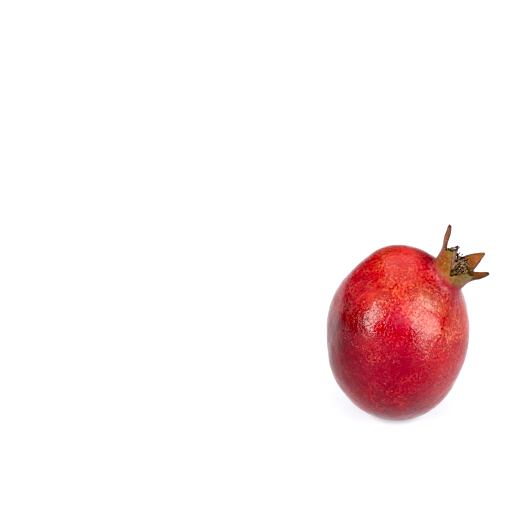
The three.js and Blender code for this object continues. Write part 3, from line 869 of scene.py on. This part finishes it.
joined = tuft.nodes.new("GeometryNodeJoinGeometry")
for part in (beans, keep(filaments, "anther", 0.0), keep(given["Geometry"], "anther", 0.0)):
    tuft.links.new(part, joined.inputs[0])
whole = add_node(tuft, "GeometryNodeRealizeInstances", {"Geometry": joined.outputs[0]})
whole = add_node(tuft, "GeometryNodeSetShadeSmooth", {"Geometry": whole})
whole = add_node(tuft, "GeometryNodeSetMaterial", {"Geometry": whole, "Material": given["Material"]})
tuft.links.new(whole, tuft.nodes.new("NodeGroupOutput").inputs[0])

# Straw to brown filaments with darker stretches, and nearly black anthers
straw, nodes, shader, place = new_material("dried_stamens")
thread = blend(nodes, band(nodes, noted(nodes, "shade"), -1, 1), paint(222, 200, 164), paint(140, 106, 80))
thread = stain(nodes, thread, (84, 54, 40), band(nodes, noise(nodes, place, 1.2, 2, 3), 0.54, 0.66, 0, 0.6))
crumbly = band(nodes, noise(nodes, place, 0.5, 2, 5), 0.4, 0.7)
pollen_sac = blend(nodes, crumbly, paint(20, 12, 10), paint(52, 32, 26))
colour = blend(nodes, noted(nodes, "anther"), thread, pollen_sac)
nodes.links.new(colour, shader.inputs["Base Color"])
bump = add_node(nodes, "ShaderNodeBump", {"Height": noise(nodes, place, 0.4, 2, 7), "Distance": 0.1 * MM})
nodes.links.new(bump, shader.inputs["Normal"])
shader.inputs["Roughness"].default_value = 0.75

# The pad is round and a little wavy: its radius and height, from the middle of its underside over
# its edge to the middle of its top
PAD = [(0, -0.25), (3, -0.25), (6, -0.65), (7.6, 0.15), (8.1, 1.2), (7.2, 1.75), (5.5, 1.7),
       (3, 1.95), (0, 2.0)]
PAD_SIDES, PAD_WAVES, PAD_WAVE = 48, 5, 0.03
round_pad = np.linspace(0, 2 * pi, PAD_SIDES, False)
pad_points, pad_faces, pad_rows = [], [], []
for radius, up in PAD[1:-1]:
    wavy = radius * (1 + PAD_WAVE * np.sin(PAD_WAVES * round_pad + up))
    pad_rows.append(len(pad_points) + np.arange(PAD_SIDES))
    pad_points.extend(np.c_[wavy * np.cos(round_pad), wavy * np.sin(round_pad), np.full(PAD_SIDES, up)])
pad_points += [(0, 0, PAD[0][1]), (0, 0, PAD[-1][1])]
for low, high in zip(pad_rows, pad_rows[1:]):
    strip(pad_faces, low, high)
fan(pad_faces, pad_rows[0][::-1], len(pad_points) - 2)
fan(pad_faces, pad_rows[-1], len(pad_points) - 1)

stamens = put("stamens_dried", new_mesh("flower_pad", pad_points, pad_faces))
grow_tuft = stamens.modifiers.new("tuft", "NODES")
grow_tuft.node_group = tuft
for name, value in STAMENS.items():
    grow_tuft[sockets[name].identifier] = value
grow_tuft[sockets["Material"].identifier] = straw
evaluated = stamens.evaluated_get(bpy.context.evaluated_depsgraph_get())
tuft_mesh = bpy.data.meshes.new_from_object(evaluated)
stamens.modifiers.clear()
stamens.data = tuft_mesh
crown_frame = Matrix((CROWN[1], CROWN[2], CROWN[0])).transposed() * MM
tuft_mesh.transform(Matrix.Translation(NECK_BASE * MM) @ crown_frame.to_4x4())
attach(stamens, "root")
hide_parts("stamens")


# ---- Floor, light and camera -----------------------------------------------------------------
# A wide sheet of white acrylic whose glow is painted light: it glows least where the fruit stands, a
# painted shadow, and more further out. One softbox lights the fruit from the left of the camera, a
# larger one from the right and the widest from above.

FLOOR_REACH = 6
corners = [(x * FLOOR_REACH, y * FLOOR_REACH, 0) for x, y in ((-1, -1), (1, -1), (1, 1), (-1, 1))]
sheet = new_mesh("floor", corners, [(0, 1, 2, 3)])
floor = put("floor", sheet)
acrylic, nodes, shader, place = new_material("white_acrylic")
shader.inputs["Base Color"].default_value = (0.28, 0.29, 0.32, 1)
shader.inputs["Roughness"].default_value = 0.7
shader.inputs["Emission Color"].default_value = (0.94, 0.96, 1, 1)
from_middle = add_node(nodes, "ShaderNodeVectorMath", {0: place}, "Value", operation="LENGTH")
# The floor's glow is painted light, and its dip where the fruit stands is a painted shadow
painted_glow_and_shadow = calc(nodes, "ADD", band(nodes, from_middle, 11, 18, 0.38, 0.72),
            band(nodes, from_middle, 60, 300, 0, 0.3))
nodes.links.new(painted_glow_and_shadow, shader.inputs["Emission Strength"])
sheet.materials.append(acrylic)
floor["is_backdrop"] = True

# The camera looks down from a metre away, at a place left of the fruit's middle and above it
CAMERA_LIFT, CAMERA_REACH = radians(25), 1.0
LOOK_LEFT, LOOK_UP = 0.08294, 0.04483
VIEW_WIDTH, SENSOR_WIDTH = 0.2958, 36
to_right = Vector((1, 0, 0))
to_top = Vector((0, sin(CAMERA_LIFT), cos(CAMERA_LIFT)))
to_camera = Vector((0, -cos(CAMERA_LIFT), sin(CAMERA_LIFT)))
fruit_middle = Vector(BODY_CENTRE * MM)
lens = bpy.data.cameras.new("camera")
lens.sensor_width = SENSOR_WIDTH
lens.lens = SENSOR_WIDTH * CAMERA_REACH / VIEW_WIDTH
camera = put("camera", lens)
camera.location = fruit_middle - to_right * LOOK_LEFT + to_top * LOOK_UP + to_camera * CAMERA_REACH
camera.rotation_euler = (pi / 2 - CAMERA_LIFT, 0, 0)
bpy.context.scene.camera = camera


def softbox(name, way, distance, width, height, power, roll=0):
    """A soft light that faces the fruit, at so much right, up and toward the camera, rolled by degrees."""
    light = bpy.data.lights.new(name, "AREA")
    light.shape = "RECTANGLE"
    light.size, light.size_y = width, height
    light.energy = power
    light.color = (1, 0.97, 0.91)
    lamp = put(name, light)
    away = (to_right * way[0] + to_top * way[1] + to_camera * way[2]).normalized()
    lamp.location = fruit_middle + away * distance
    lamp.rotation_euler = (away.to_track_quat("Z", "Y") @ Quaternion((0, 0, 1), radians(roll))).to_euler()


softbox("left_softbox", (-0.67, -0.03, 0.675), 1.1, 0.5, 0.64, 19, -18)
softbox("right_softbox", (0.59, -0.05, 0.75), 1.1, 0.84, 0.76, 26.2, 24)
softbox("top_softbox", (0.0, 0.95, 0.25), 1.3, 1.2, 1.2, 12)

# The dim white room round it all, and a finish that deepens the darkest tones
BLACK_LEVEL = 0.034
world = bpy.data.worlds.new("studio")
world.use_nodes = True
world.node_tree.nodes["Background"].inputs["Color"].default_value = (1, 1, 1, 1)
world.node_tree.nodes["Background"].inputs["Strength"].default_value = 0.22
bpy.context.scene.world = world
finish = bpy.context.scene.view_settings
finish.view_transform = "Standard"
finish.use_curve_mapping = True
finish.curve_mapping.black_level = (BLACK_LEVEL,) * 3
finish.curve_mapping.update()

low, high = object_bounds()
